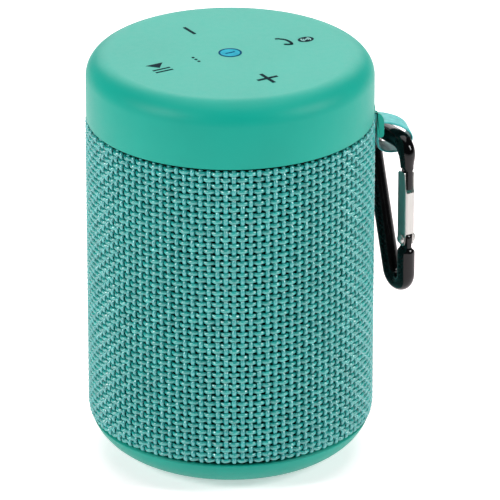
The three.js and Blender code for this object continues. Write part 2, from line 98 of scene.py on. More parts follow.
def make_object(name, points, faces, material, body="case", slot=None, smooth=True):
    """points are in millimetres, in the frame's own axes."""
    mesh = bpy.data.meshes.new(name)
    mesh.from_pydata((np.asarray(points, dtype=float) * MM).tolist(), [], faces)
    mesh.validate()
    if smooth:
        mesh.polygons.foreach_set("use_smooth", [True] * len(mesh.polygons))
    mesh.materials.append(material)
    obj = bpy.data.objects.new(name, mesh)
    bpy.context.scene.collection.objects.link(obj)
    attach(obj, body)
    return obj


def grid_faces(rows, columns, close_rows=False, close_columns=True):
    """Quads over a grid of rows by columns, numbered along the columns first."""
    faces = []
    for i in range(rows if close_rows else rows - 1):
        k = (i + 1) % rows
        for j in range(columns if close_columns else columns - 1):
            m = (j + 1) % columns
            faces.append((i * columns + j, i * columns + m, k * columns + m, k * columns + j))
    return faces


def turned(profile, segments=144):
    """A closed [radius, height] profile, listed anticlockwise, turned about Z."""
    profile = np.asarray(profile, dtype=float)
    around = np.arange(segments) * TAU / segments
    r = profile[:, 0][None, :]
    points = np.stack([r * np.cos(around)[:, None], r * np.sin(around)[:, None],
                       np.broadcast_to(profile[:, 1], (segments, len(profile)))], axis=2)
    return points.reshape(-1, 3), grid_faces(segments, len(profile), close_rows=True)


def arc(cx, cy, rx, ry, a0, a1, steps):
    angles = np.radians(np.linspace(a0, a1, steps + 1))
    return [(cx + rx * math.cos(a), cy + ry * math.sin(a)) for a in angles]


def soften(obj, width, segments=3, angle=30):
    """A rounded bevel on every edge sharper than angle, with shading kept smooth."""
    bevel = obj.modifiers.new("bevel", "BEVEL")
    bevel.width = width * MM
    bevel.segments = segments
    bevel.limit_method = "ANGLE"
    bevel.angle_limit = math.radians(angle)
    bevel.harden_normals = True
    return obj


def prism(outline, z0, z1):
    """A flat outline in X and Y, given thickness in Z."""
    count = len(outline)
    points = [(x, y, z) for z in (z0, z1) for x, y in outline]
    faces = [(i, (i + 1) % count, count + (i + 1) % count, count + i) for i in range(count)]
    return points, faces + [tuple(range(count))[::-1], tuple(range(count, 2 * count))]


def swept(path, side, half_w, half_t, sides, closed=False, power=2.0):
    """A superelliptic tube along path. side is the direction of its width at each point."""
    path = np.asarray(path, dtype=float)
    count = len(path)
    if closed:
        tangent = np.roll(path, -1, axis=0) - np.roll(path, 1, axis=0)
    else:
        tangent = np.gradient(path, axis=0)
    tangent /= np.linalg.norm(tangent, axis=1)[:, None]
    side = np.broadcast_to(side, (count, 3))
    out = np.cross(tangent, side)
    out /= np.linalg.norm(out, axis=1)[:, None]
    angle = np.arange(sides) * TAU / sides
    power = np.broadcast_to(power, (count,))[:, None]
    c = np.sign(np.cos(angle)) * np.abs(np.cos(angle)) ** (2 / power)
    s = np.sign(np.sin(angle)) * np.abs(np.sin(angle)) ** (2 / power)
    w = np.broadcast_to(half_w, (count,))[:, None]
    t = np.broadcast_to(half_t, (count,))[:, None]
    ring = (path[:, None, :] + (c * w)[:, :, None] * side[:, None, :]
            + (s * t)[:, :, None] * out[:, None, :])
    faces = grid_faces(count, sides, close_rows=closed)
    if not closed:
        last = (count - 1) * sides
        faces.append(tuple(range(sides))[::-1])
        faces.append(tuple(last + i for i in range(sides)))
    return ring.reshape(-1, 3), faces


def merged(parts):
    """Several (points, faces) pairs as one."""
    points, faces, start = [], [], 0
    for some_points, some_faces in parts:
        points.append(np.asarray(some_points, dtype=float))
        faces.extend(tuple(start + i for i in face) for face in some_faces)
        start += len(some_points)
    return np.concatenate(points), faces


# ---------------------------------------------------------------- material nodes

def srgb(r, g, b):
    def linear(c):
        c /= 255
        return c / 12.92 if c <= 0.04045 else ((c + 0.055) / 1.055) ** 2.4
    return (linear(r), linear(g), linear(b), 1.0)


def scaled(color, factor):
    return tuple(min(1.0, c * factor) for c in color[:3]) + (1.0,)


class Look:
    """A Principled material whose pattern is worked out in millimetres."""

    def __init__(self, name, **sockets):
        self.material = bpy.data.materials.new(name)
        self.material.use_nodes = True
        self.tree = self.material.node_tree
        self.shader = self.tree.nodes["Principled BSDF"]
        for socket, value in sockets.items():
            self.shader.inputs[socket.replace("_", " ")].default_value = value
        coordinates = self.tree.nodes.new("ShaderNodeTexCoord")
        mapping = self.tree.nodes.new("ShaderNodeMapping")
        mapping.inputs["Scale"].default_value = (1 / MM, 1 / MM, 1 / MM)
        self.link(coordinates.outputs["Object"], mapping.inputs["Vector"])
        self.mm = mapping.outputs["Vector"]

    def link(self, a, b):
        self.tree.links.new(a, b)

    def math(self, operation, a, b=None):
        node = self.tree.nodes.new("ShaderNodeMath")
        node.operation = operation
        for socket, value in zip(node.inputs, (a, b)):
            if value is None:
                continue
            if isinstance(value, (int, float)):
                socket.default_value = value
            else:
                self.link(value, socket)
        return node.outputs[0]

    def axes(self):
        node = self.tree.nodes.new("ShaderNodeSeparateXYZ")
        self.link(self.mm, node.inputs[0])
        return node.outputs

    def noise(self, per_mm, detail=2.0, stretch=None):
        vector = self.mm
        if stretch:
            node = self.tree.nodes.new("ShaderNodeMapping")
            node.inputs["Scale"].default_value = stretch
            self.link(self.mm, node.inputs["Vector"])
            vector = node.outputs["Vector"]
        node = self.tree.nodes.new("ShaderNodeTexNoise")
        node.inputs["Scale"].default_value = per_mm
        node.inputs["Detail"].default_value = detail
        self.link(vector, node.inputs["Vector"])
        return node.outputs["Fac"]

    def color(self, factor, *stops):
        node = self.tree.nodes.new("ShaderNodeValToRGB")
        ramp = node.color_ramp
        while len(ramp.elements) < len(stops):
            ramp.elements.new(0.5)
        for element, (position, value) in zip(ramp.elements, stops):
            element.position = position
            element.color = value
        self.link(factor, node.inputs["Fac"])
        self.link(node.outputs["Color"], self.shader.inputs["Base Color"])
        return node.outputs["Color"]

    def rough(self, factor, low, high):
        node = self.tree.nodes.new("ShaderNodeMapRange")
        node.inputs["To Min"].default_value = low
        node.inputs["To Max"].default_value = high
        self.link(factor, node.inputs["Value"])
        self.link(node.outputs["Result"], self.shader.inputs["Roughness"])

    def bump(self, height, depth):
        node = self.tree.nodes.new("ShaderNodeBump")
        node.inputs["Distance"].default_value = depth * MM
        self.link(height, node.inputs["Height"])
        self.link(node.outputs["Normal"], self.shader.inputs["Normal"])


def rubber(name, color, roughness=0.5, grain=0.012):
    look = Look(name, Sheen_Weight=0.06, Sheen_Roughness=0.45, Specular_IOR_Level=0.22)
    cloud = look.noise(0.05, 3)
    look.color(cloud, (0.3, scaled(color, 0.96)), (0.7, scaled(color, 1.04)))
    look.rough(look.noise(0.6, 3), roughness - 0.05, roughness + 0.05)
    look.bump(look.noise(9, 2), grain)
    return look.material


def yarn(name, dark, light, along_z):
    """Twisted filament yarn. Its strands run along Z or round the sleeve, with a slant."""
    look = Look(name, Sheen_Weight=0.1, Sheen_Roughness=0.3, Specular_IOR_Level=1.0,
                IOR=1.6)
    x, y, z = look.axes()
    around = look.math("MULTIPLY", look.math("ARCTAN2", y, x), SLEEVE_R)
    across, along = (around, z) if along_z else (z, around)
    strand_pitch = 0.3
    slant = 0.45
    phase = look.math("ADD", across, look.math("MULTIPLY", along, slant))
    wave = look.math("SINE", look.math("MULTIPLY", phase, TAU / strand_pitch))
    wobble = look.math("MULTIPLY", look.noise(2.5, 2), 1.6)
    strands = look.math("ADD", look.math("MULTIPLY", wave, 0.25), wobble)
    look.color(look.math("ADD", look.math("MULTIPLY", wave, 0.12), look.noise(0.5, 4)),
               (0.25, dark), (0.75, light))
    look.rough(look.noise(1.5, 2), 0.2, 0.28)
    look.bump(strands, 0.035)
    return look.material


def metal(name, color, roughness, brushed=None):
    look = Look(name, Metallic=1.0)
    grain = look.noise(3, 3, brushed) if brushed else look.noise(1.2, 3)
    look.color(grain, (0.2, scaled(color, 0.9)), (0.8, scaled(color, 1.08)))
    look.rough(grain, roughness * 0.75, roughness * 1.25)
    look.bump(grain, 0.006)
    return look.material


def plastic(name, color, roughness=0.5, per_mm=6, grain=0.012, **sockets):
    look = Look(name, **sockets)
    look.color(look.noise(0.12, 3), (0.3, scaled(color, 0.88)), (0.7, scaled(color, 1.12)))
    look.rough(look.noise(0.9, 3), roughness - 0.06, roughness + 0.06)
    look.bump(look.noise(per_mm, 2), grain)
    return look.material


TEAL = srgb(2, 156, 138)
cap_rubber = rubber("cap rubber", TEAL, 0.48)
base_rubber = rubber("base rubber", srgb(2, 150, 132), 0.5)
warp_yarn = yarn("warp yarn", srgb(18, 144, 142), srgb(64, 184, 180), True)
weft_yarn = yarn("weft yarn", srgb(2, 134, 128), srgb(32, 178, 169), False)
# Near-black teal sheet under the yarns: painted shade for the gaps of the weave.
gap_shade_sheet = plastic("painted gap shade", srgb(4, 34, 32), 0.9, per_mm=4, grain=0.05)
gate_steel = metal("gate steel", srgb(186, 186, 182), 0.36, (1, 1, 0.08))
bright_steel = metal("bright steel", srgb(196, 198, 200), 0.3, (1, 0.1, 1))
screw_steel = metal("screw steel", srgb(92, 94, 98), 0.35)
dark_plastic = plastic("dark plastic", srgb(34, 36, 38), 0.5)
black_rubber = plastic("black rubber", srgb(24, 25, 27), 0.7)


def enamel():
    """Thick glossy black paint, slightly wavy."""
    look = Look("black enamel", Specular_IOR_Level=0.3)
    look.color(look.noise(0.4, 3), (0.3, srgb(2, 2, 3)), (0.7, srgb(6, 6, 7)))
    look.rough(look.noise(1.4, 3), 0.07, 0.12)
    look.bump(look.noise(0.9, 2), 0.03)
    return look.material


def ribbon_cloth():
    """A satin ribbon: fine ribs across it and a faint thread along it."""
    look = Look("ribbon satin", Sheen_Weight=0.08, Sheen_Roughness=0.3, Specular_IOR_Level=0.45)
    x, y, z = look.axes()
    side = look.math("ADD", look.math("MULTIPLY", x, -math.sin(LUG_AZIMUTH)),
                     look.math("MULTIPLY", y, math.cos(LUG_AZIMUTH)))
    rib = look.math("SINE", look.math("MULTIPLY", side, TAU / 0.42))
    radial = look.math("ADD", look.math("MULTIPLY", x, 1.0), z)
    thread = look.math("SINE", look.math("MULTIPLY", radial, TAU / 0.36))
    height = look.math("MULTIPLY", rib, thread)
    look.color(look.math("ADD", look.noise(0.6, 3), look.math("MULTIPLY", height, 0.12)),
               (0.25, srgb(34, 158, 160)), (0.75, srgb(92, 204, 200)))
    look.rough(look.noise(1.2, 2), 0.34, 0.46)
    look.bump(height, 0.03)
    return look.material


def glow():
    """The lit centre of the power key."""
    look = Look("power glow", Emission_Strength=0.08, Specular_IOR_Level=0.08)
    color = look.color(look.noise(0.5, 2), (0.3, srgb(0, 140, 164)), (0.7, srgb(24, 156, 178)))
    look.link(color, look.shader.inputs["Emission Color"])
    look.rough(look.noise(2, 2), 0.6, 0.7)
    return look.material


black_enamel = enamel()
ribbon = ribbon_cloth()
power_glow = glow()
ink = plastic("key ink", srgb(12, 36, 44), 0.85, grain=0.004, Specular_IOR_Level=0.06)
pale_ink = plastic("pale ink", srgb(108, 176, 170), 0.5, grain=0.004)
power_ink = plastic("power ink", srgb(0, 70, 104), 0.8, grain=0.004,
                    Specular_IOR_Level=0.05)
SLOT_LOOKS = {
    "cap_rubber": cap_rubber,
    "woven_fabric": weft_yarn,
    "base_rubber": base_rubber,
    "flap_rubber": base_rubber,
    "strap_ribbon": ribbon,
    "black_enamel": black_enamel,
    "gate_steel": gate_steel,
    "bright_steel": bright_steel,
    "screw_steel": screw_steel,
    "grille_steel": plastic("powder coat", srgb(38, 40, 43), 0.55, per_mm=3, grain=0.03),
    "black_rubber": black_rubber,
    "black_plastic": dark_plastic,
    "key_plastic": plastic("key plastic", srgb(200, 206, 206), 0.45),
    "clear_plastic": plastic("clear plastic", srgb(214, 244, 250), 0.15, grain=0.003,
                             Transmission_Weight=0.6),
    "cone_paper": plastic("cone paper", srgb(42, 42, 46), 0.8, per_mm=2, grain=0.06),
    "copper_wire": metal("copper winding", srgb(196, 116, 66), 0.3, (1, 6, 1)),
    "spider_cloth": plastic("spider cloth", srgb(196, 160, 96), 0.85, per_mm=5, grain=0.06),
    "magnet_ferrite": plastic("ferrite", srgb(46, 46, 50), 0.7, per_mm=5, grain=0.02),
    "board_laminate": plastic("solder mask", srgb(20, 92, 58), 0.3, per_mm=1.5, grain=0.01),
    "chip_epoxy": plastic("chip epoxy", srgb(28, 28, 31), 0.55, per_mm=8),
    "battery_wrap": plastic("battery wrap", srgb(48, 104, 158), 0.28, per_mm=0.8, grain=0.01),
}


def paint_cad_nodes():
    """Every CAD node takes the procedural finish of its slot."""
    slots = {part["node"]: part["material_slot"] for part in frame["record"]["subparts"]}
    for name, slot in slots.items():
        obj = bpy.data.objects.get(name)
        if obj is None:
            continue
        obj.data.materials.clear()
        obj.data.materials.append(SLOT_LOOKS[slot])


# ---------------------------------------------------------------- woven sleeve

WARP_COUNT = 108
ROW_PITCH = 1.68
YARN_SWING = 0.52
YARN_HALF_THICK = 0.42
WARP_HALF_WIDTH = 0.6
WEFT_HALF_WIDTH = 0.62
WEFT_SLANT = 0.16
STEPS_PER_CROSSING = 4
YARN_SIDES = 6


def side_surface(s, depth=0.0):
    """Radius, height and outward normal of the sleeve, s mm down from its top edge."""
    s = np.asarray(s, dtype=float)
    run, rise = FOOT_EDGE
    straight = SLEEVE_HIGH[2] - rise
    angles = np.linspace(0, math.radians(50), 200)
    curve_r = SLEEVE_R - run + run * np.cos(angles)
    curve_z = rise - rise * np.sin(angles)
    lengths = np.concatenate([[0], np.cumsum(np.hypot(np.diff(curve_r), np.diff(curve_z)))])
    past = np.clip(s - straight, 0, None)
    angle = np.interp(past, lengths, angles)
    nr, nz = np.cos(angle) * rise, -np.sin(angle) * run
    size = np.hypot(nr, nz)
    nr, nz = nr / size, nz / size
    r = SLEEVE_R - run + run * np.cos(angle) - depth * nr
    z = np.where(past > 0, rise - rise * np.sin(angle), SLEEVE_HIGH[2] - s) - depth * nz
    return r, z, nr, nz


def sleeve_length():
    s = np.linspace(70, 100, 3001)
    z = side_surface(s)[1]
    return float(s[np.argmax(z <= SLEEVE_LOW_Z)])


SLEEVE_LENGTH = sleeve_length()
ROW_COUNT = int(round(SLEEVE_LENGTH / ROW_PITCH))
ROW = SLEEVE_LENGTH / ROW_COUNT
MID_DEPTH = YARN_SWING + YARN_HALF_THICK


def float_shape(phase):
    """A yarn's rise over one crossing and dive under the next, from -1 to 1."""
    return np.sin(math.pi * phase)


def in_port(x, y, z, edge=0.35):
    return ((y > 0) & (np.abs(x) < PORT_HIGH[0] - edge)
            & (z > PORT_LOW[2] + edge) & (z < PORT_HIGH[2] - edge))


def runs(keep):
    """The stretches of True in a list, as slices."""
    edges = np.flatnonzero(np.diff(np.concatenate([[0], keep.astype(int), [0]])))
    return [slice(a, b) for a, b in zip(edges[::2], edges[1::2]) if b - a > 3]


def warp_yarns(parity):
    parts = []
    for k in range(parity, WARP_COUNT, 2):
        angle = (k + 0.5 + 0.03 * rng.randn()) * TAU / WARP_COUNT
        width = WARP_HALF_WIDTH * (1 + 0.04 * rng.randn())
        s = np.linspace(0.02, SLEEVE_LENGTH - 0.02, ROW_COUNT * STEPS_PER_CROSSING + 1)
        lift = YARN_SWING * float_shape(s / ROW + k)
        r, z, nr, nz = side_surface(s, MID_DEPTH)
        r, z = r + lift * nr, z + lift * nz
        path = np.stack([r * math.cos(angle), r * math.sin(angle), z], axis=1)
        side = np.array([-math.sin(angle), math.cos(angle), 0])
        for piece in runs(~in_port(*path.T)):
            parts.append(swept(path[piece], side, width, YARN_HALF_THICK, YARN_SIDES))
    return merged(parts)


def weft_yarns(parity):
    parts = []
    steps = WARP_COUNT * STEPS_PER_CROSSING
    for row in range(parity, ROW_COUNT, 2):
        s = (row + 0.5 + 0.02 * rng.randn()) * ROW
        width = WEFT_HALF_WIDTH * (1 + 0.04 * rng.randn())
        turn = np.arange(steps) / steps * WARP_COUNT
        angle = turn * TAU / WARP_COUNT + math.pi / 2
        lift = -YARN_SWING * float_shape(turn + WARP_COUNT / 4 + row)
        r, z, nr, nz = side_surface(s, MID_DEPTH)
        radius = r + lift * nr
        slant = WEFT_SLANT * np.cos(math.pi * (turn + WARP_COUNT / 4 + row)) * np.sign(lift)
        path = np.stack([radius * np.cos(angle), radius * np.sin(angle),
                         z + lift * nz + slant * np.abs(lift) / YARN_SWING], axis=1)
        down = np.stack([nz * np.cos(angle), nz * np.sin(angle), -nr + 0 * angle], axis=1)
        keep = ~in_port(*path.T)
        if keep.all():
            parts.append(swept(path, down, width, YARN_HALF_THICK, YARN_SIDES, closed=True))
        else:
            for piece in runs(keep):
                parts.append(swept(path[piece], down[piece], width, YARN_HALF_THICK,
                                   YARN_SIDES))
    return merged(parts)


def make_sleeve():
    for parity, word in enumerate(("even", "odd")):
        make_object("warp_yarns_" + word, *warp_yarns(parity), warp_yarn,
                                 slot="woven_fabric")
        make_object("weft_yarns_" + word, *weft_yarns(parity), weft_yarn,
                                 slot="woven_fabric")
    # A dark teal sheet just below the yarns: painted shade that darkens the gaps between them.
    columns, rows = 216, 60
    s = np.linspace(0.1, SLEEVE_LENGTH - 0.1, rows)
    r, z, nr, nz = side_surface(s, 2 * MID_DEPTH - 0.15)
    angle = np.arange(columns) * TAU / columns
    points = np.stack([r[:, None] * np.cos(angle), r[:, None] * np.sin(angle),
                       np.broadcast_to(z[:, None], (rows, columns))], axis=2).reshape(-1, 3)
    faces = [f for f in grid_faces(rows, columns)
             if not in_port(*points[list(f)].mean(axis=0), edge=-0.2)]
    faces = [f[::-1] for f in faces]
    cloth = make_object("sleeve_gap_shade", points, faces, gap_shade_sheet, slot="woven_fabric")
    thick = cloth.modifiers.new("thickness", "SOLIDIFY")
    thick.thickness = 0.12 * MM
    thick.offset = 0
    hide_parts("fabric_sleeve")


# ---------------------------------------------------------------- cap, base and foot

def make_cap():
    run, rise = TOP_EDGE
    low = SEAM_Z + 0.2
    wall = 1.8
    outer = arc(CAP_R - run, SKIN_Z - rise, run, rise, 0, 90, 22)
    inner = arc(CAP_R - run, TOP_Z - rise, run - wall, rise - wall, 90, 0, 10)
    centre = 0.01
    profile = ([(CAP_R - 0.35, low), (CAP_R - 0.1, low + 0.1), (CAP_R, low + 0.4)] + outer
               + [(24, SKIN_Z), (12, SKIN_Z), (1, SKIN_Z), (centre, SKIN_Z - 0.01),
                  (centre, TOP_Z - wall)] + inner
               + [(CAP_R - wall, low)])
    cap = make_object("cap_skin", *turned(profile, 180), cap_rubber, slot="cap_rubber")
    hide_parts("top_cap")
    for name, middle, toe_drop, outer in (("lug_ear_near", -4.8, 1.4, 40.3),
                                          ("lug_ear_far", 4.8, 0.3, 39.8)):
        points, faces = prism(ear_outline(toe_drop, outer), -0.7, 0.7)
        points = np.asarray(points)
        placed = np.stack([points[:, 0], middle - points[:, 2], points[:, 1]], axis=1)
        ear = make_object(name, turn_to_lug(placed), faces, cap_rubber, slot="cap_rubber")
        soften(ear, 0.28)


def turn_to_lug(points):
    """From the lug's own axes (outward, sideways, up) to the frame."""
    c, s = math.cos(LUG_AZIMUTH), math.sin(LUG_AZIMUTH)
    points = np.asarray(points, dtype=float)
    return np.stack([points[:, 0] * c - points[:, 1] * s,
                     points[:, 0] * s + points[:, 1] * c, points[:, 2]], axis=1)


def ear_outline(toe_drop, outer):
    inner = SLEEVE_R + 0.1
    toe = (outer - inner) / 2
    low = BAR.z - toe_drop
    return ([(CAP_R - 1.2, SEAM_Z + 0.5), (CAP_R - 1.2, SEAM_Z + 0.2), (inner, SEAM_Z + 0.2)]
            + arc(inner + toe, low, toe, toe, 180, 360, 12)
            + arc(CAP_R + 0.2, BAR.z + 1.9, outer - CAP_R - 0.2, SEAM_Z - 1.8 - BAR.z, 0, 90, 8))


def foot_arc(wall_r, low, high, steps):
    run, rise = FOOT_EDGE
    a0, a1 = (-math.degrees(math.asin((rise - z) / rise)) for z in (low, high))
    return arc(wall_r - run, rise, run, rise, a0, a1, steps)


def make_base():
    lip, top = 0.9, SLEEVE_LOW_Z - 0.4
    profile = ([(24.2, lip + 0.2), (24.4, lip)] + foot_arc(CAP_R, lip, top - 0.25, 20)
               + [(CAP_R - 1.75, top - 0.05), (CAP_R - 2.0, top), (34.9, top), (32.6, 8.4),
                  (31, 5.6), (27.6, 2.6), (24.2, 2.6)])
    ring = make_object("base_bumper", *turned(profile, 180), base_rubber, slot="base_rubber")
    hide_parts("base_ring")
    groove = []
    for r in (21, 18, 15, 12, 9, 6):
        groove += [(r - 0.5, 0), (r - 0.6, 0.35), (r - 1.0, 0.35), (r - 1.1, 0)]
    under = [(23.9, 0.7), (23.75, 0.3), (23.4, 0.06), (23.1, 0)] + groove + [(0.01, 0)]
    profile = [(0.01, 1.4), (23.9, 1.4)] + under
    pad = make_object("foot_disc", *turned(profile[::-1], 128), base_rubber, slot="base_rubber")
    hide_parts("foot_pad")


# ---------------------------------------------------------------- printed keys

ICON_TURN = math.radians(31)
ICON_LOW, ICON_HIGH = -0.2, 0.0
SKIN_Z = TOP_Z - 0.06


def icon_point(centre, right, up):
    """Icons are drawn in axes turned about Z: up points at ICON_TURN."""
    ux, uy = math.cos(ICON_TURN), math.sin(ICON_TURN)
    return (centre[0] + right * uy + up * ux, centre[1] - right * ux + up * uy)


def stroke(path, widths, round_ends=True):
    """The outline of a line of changing width, as points in icon axes."""
    path = np.asarray(path, dtype=float)
    widths = np.broadcast_to(widths, (len(path),)) / 2
    tangent = np.gradient(path, axis=0)
    tangent /= np.linalg.norm(tangent, axis=1)[:, None]
    normal = np.stack([-tangent[:, 1], tangent[:, 0]], axis=1)
    left = path + normal * widths[:, None]
    right = path - normal * widths[:, None]
    ends = []
    for i, sign in ((-1, 1), (0, -1)):
        turn = np.linspace(90, -90, 9)[1:-1] if round_ends else []
        for degrees in turn:
            a = math.radians(degrees)
            ends.append(path[i] + sign * widths[i] * (math.cos(a) * tangent[i]
                                                      + math.sin(a) * normal[i]))
    half = len(ends) // 2
    return [*left, *ends[:half], *right[::-1], *ends[half:]]


def icon(name, centre, outlines, material=None, low=ICON_LOW, high=ICON_HIGH):
    parts = []
    for outline in outlines:
        flat = [icon_point(centre, x, y) for x, y in outline]
        area = sum(a[0] * b[1] - b[0] * a[1] for a, b in zip(flat, flat[1:] + flat[:1]))
        parts.append(prism(flat if area > 0 else flat[::-1], TOP_Z + low, TOP_Z + high))
    return make_object(name, *merged(parts), material or ink, slot="black_plastic",
                       smooth=False)


def circle(cx, cy, r, steps=20, ratio=1.0):
    return arc(cx, cy, r, r * ratio, 0, 360 - 360 / steps, steps - 1)


def make_icons():
    icon("minus_icon", (-10.8, 15.8), [stroke([(-2.8, 0), (0, 0), (2.8, 0)], 0.85, False)])
    long, short, b = 3.4, 3.0, 0.48
    cross = [(-long, -b), (-b, -b), (-b, -short), (b, -short), (b, -b), (long, -b), (long, b),
             (b, b), (b, short), (-b, short), (-b, b), (-long, b)]
    icon("plus_icon", (9.75, -18), [cross])
    triangle = [(-3.4, -2.2), (-0.5, 0.3), (-3.4, 2.8)]
    bars = [stroke([(x, -2.3), (x, 0.3), (x, 2.8)], 0.62, False) for x in (0.5, 2.05)]
    icon("play_pause_icon", (-18.3, -11.3), [triangle, *bars])
    spine = [(-2.2, -0.3), (-1.7, 0.2), (-1, 0.6), (0, 0.8), (1, 0.85), (1.8, 0.75), (2.4, 0.4)]
    icon("call_icon", (14.6, 8.0), [stroke(spine, 0.8),
                                    stroke([(2.45, 0.35), (2.2, -0.5), (1.75, -1.1)], 0.95),
                                    stroke([(-2.6, -0.6), (-2.75, -0.9), (-2.85, -1.2)], 0.8)])
    icon("pairing_badge", (19.9, 9.5), [circle(0, 0, 1.75, 32, 1.29)], low=-0.16, high=-0.02)
    waves = [stroke(arc(0, 0, r, r, a - 42, a + 42, 8), 0.3) for r in (0.7, 1.25)
             for a in (90, 270)]
    icon("pairing_waves", (19.9, 9.5), [circle(0, 0, 0.3, 14), *waves], pale_ink)
    dots = [circle(x, 0, 0.42, 14) for x in (-1.5, 0, 1.5)]
    icon("microphone_dots", (-8.9, -4.8), dots)
    disc = icon("power_glow_disc", (0, 0), [circle(0, 0, 2.75, 48)], power_glow, high=-0.03)
    high = TOP_Z + ICON_HIGH
    profile = [(2.6, TOP_Z + ICON_LOW), (3.1, TOP_Z + ICON_LOW), (3.1, high), (2.6, high)]
    make_object("power_ring", *turned(profile, 64), power_ink, slot="black_plastic")
    icon("power_mark", (0, 0), [stroke([(0, -1.2), (0, 0), (0, 1.2)], 0.55)], power_ink)


# ---------------------------------------------------------------- ribbon loop

def closed_curve(corners, count):
    """Evenly spaced points on a smooth closed curve through the corners."""
    corners = np.asarray(corners, dtype=float)
    fine = []
    size = len(corners)
    for i in range(size):
        p0, p1, p2, p3 = (corners[(i + k) % size] for k in (-1, 0, 1, 2))
        for t in np.linspace(0, 1, 40, endpoint=False):
            fine.append(0.5 * (2 * p1 + (p2 - p0) * t + (2 * p0 - 5 * p1 + 4 * p2 - p3) * t ** 2
                               + (3 * p1 - p0 - 3 * p2 + p3) * t ** 3))
    fine = np.array(fine + [fine[0]])
    lengths = np.concatenate([[0], np.cumsum(np.linalg.norm(np.diff(fine, axis=0), axis=1))])
    at = np.linspace(0, lengths[-1], count, endpoint=False)
    return np.stack([np.interp(at, lengths, fine[:, i]) for i in range(2)], axis=1)


STRAP_SHEAR = 0.36
RIBBON_THICK = 0.5
RIBBON_PATH = [(39.02, 88.7), (39.12, 85.0), (39.8, 82.3), (42.2, 80.8), (45.6, 80.95),
               (47.8, 82.3), (48.4, 84.9), (47.5, 87.1), (45.5, 88.7), (43.0, 89.7),
               (40.8, 90.2), (39.45, 90.0)]


def ribbon_frame(count):
    path = closed_curve(RIBBON_PATH, count)
    tangent = np.roll(path, -1, axis=0) - np.roll(path, 1, axis=0)
    tangent /= np.linalg.norm(tangent, axis=1)[:, None]
    outward = np.stack([tangent[:, 1], -tangent[:, 0]], axis=1)
    shift = STRAP_SHEAR * np.clip(BAR.z - 1.5 - path[:, 1], 0, None)
    return path, outward, shift


def make_ribbon():
    count, across = 150, 23
    path, outward, shift = ribbon_frame(count)
    half = 3.8
    v = np.linspace(-1, 1, across)
    selvedge = 0.07 * np.exp(-((np.abs(v) - 0.93) / 0.05) ** 2)
    ring_v = np.concatenate([v, v[::-1]])
    layer = np.concatenate([np.ones(across), -np.ones(across)])
    bulge = np.concatenate([selvedge, selvedge])
    offset = layer * (RIBBON_THICK / 2 * np.sqrt(np.clip(1 - np.abs(ring_v) ** 14, 0, 1))
                      + bulge)
    points = np.empty((count, 2 * across, 3))
    points[:, :, 0] = path[:, None, 0] + outward[:, None, 0] * offset
    points[:, :, 2] = path[:, None, 1] + outward[:, None, 1] * offset
    points[:, :, 1] = half * ring_v[None, :] + shift[:, None]
    faces = grid_faces(count, 2 * across, close_rows=True)
    loop = make_object("ribbon_loop", turn_to_lug(points.reshape(-1, 3)), faces, ribbon,
                       body="strap", slot="strap_ribbon")
    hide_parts("strap_loop")
    parts = []
    for row in (6, 9):
        for i in range(8):
            y = -3.1 + i * 0.86
            centre = np.array([path[row, 0], y + shift[row], path[row, 1]])
            lift = np.array([outward[row, 0], 0, outward[row, 1]]) * (RIBBON_THICK / 2 + 0.03)
            span = np.linspace(-0.33, 0.33, 7)
            rise = 0.05 * np.sqrt(1 - (span / 0.34) ** 2)
            line = [centre + lift * (1 + r) + np.array([0, x, 0]) for x, r in zip(span, rise)]
            parts.append(swept(turn_to_lug(line), turn_to_lug([(0, 0, 1)])[0], 0.09, 0.07, 6))
    make_object("ribbon_stitches", *merged(parts), weft_yarn, body="strap",
                slot="strap_ribbon")


# ---------------------------------------------------------------- carabiner

HOOK_FOOT = Vector((RIVET.x, RIVET.y, 0))
WIRE_R = 2.35
BLADE_HALF = 0.85
BLADE_DEEP = 1.7
NOSE_LOW, NOSE_SHOULDER = 71.6, 77.2
TANG_SHOULDER = 55.2


def from_hook(points):
    """From the hook's own axes (towards the gate, across the wire, up) to the frame."""
    turn = np.array([HOOK_U, HOOK_N, (0, 0, 1)])
    return np.asarray(points, dtype=float) @ turn + np.array(HOOK_FOOT)


def hook_path():
    lean = 16.5
    turn_r, back_r, front_r = 3.57, 5.5, 4.0
    bottom_z = node_box("carabiner_body")[0][2] + WIRE_R + turn_r
    bottom = arc(-turn_r, bottom_z, turn_r, turn_r, 0, -180 + lean, 30)
    back = arc(-11, HOOK_TOP_Z - back_r, back_r, back_r, 180 + lean, 90, 22)
    front = arc(-front_r, HOOK_TOP_Z - front_r, front_r, front_r, 90, 0, 22)
    corners = [(0, RIVET.z + BLADE_DEEP)] + bottom + back + front + [(0, NOSE_LOW)]
    corners = np.array(corners)
    lengths = np.concatenate([[0], np.cumsum(np.linalg.norm(np.diff(corners, axis=0),
                                                            axis=1))])
    at = np.arange(0, lengths[-1], 0.25)
    at = np.append(at, lengths[-1])
    return np.stack([np.interp(at, lengths, corners[:, i]) for i in range(2)], axis=1), at


def blend(value, low, high):
    t = np.clip((value - low) / (high - low), 0, 1)
    return t * t * (3 - 2 * t)


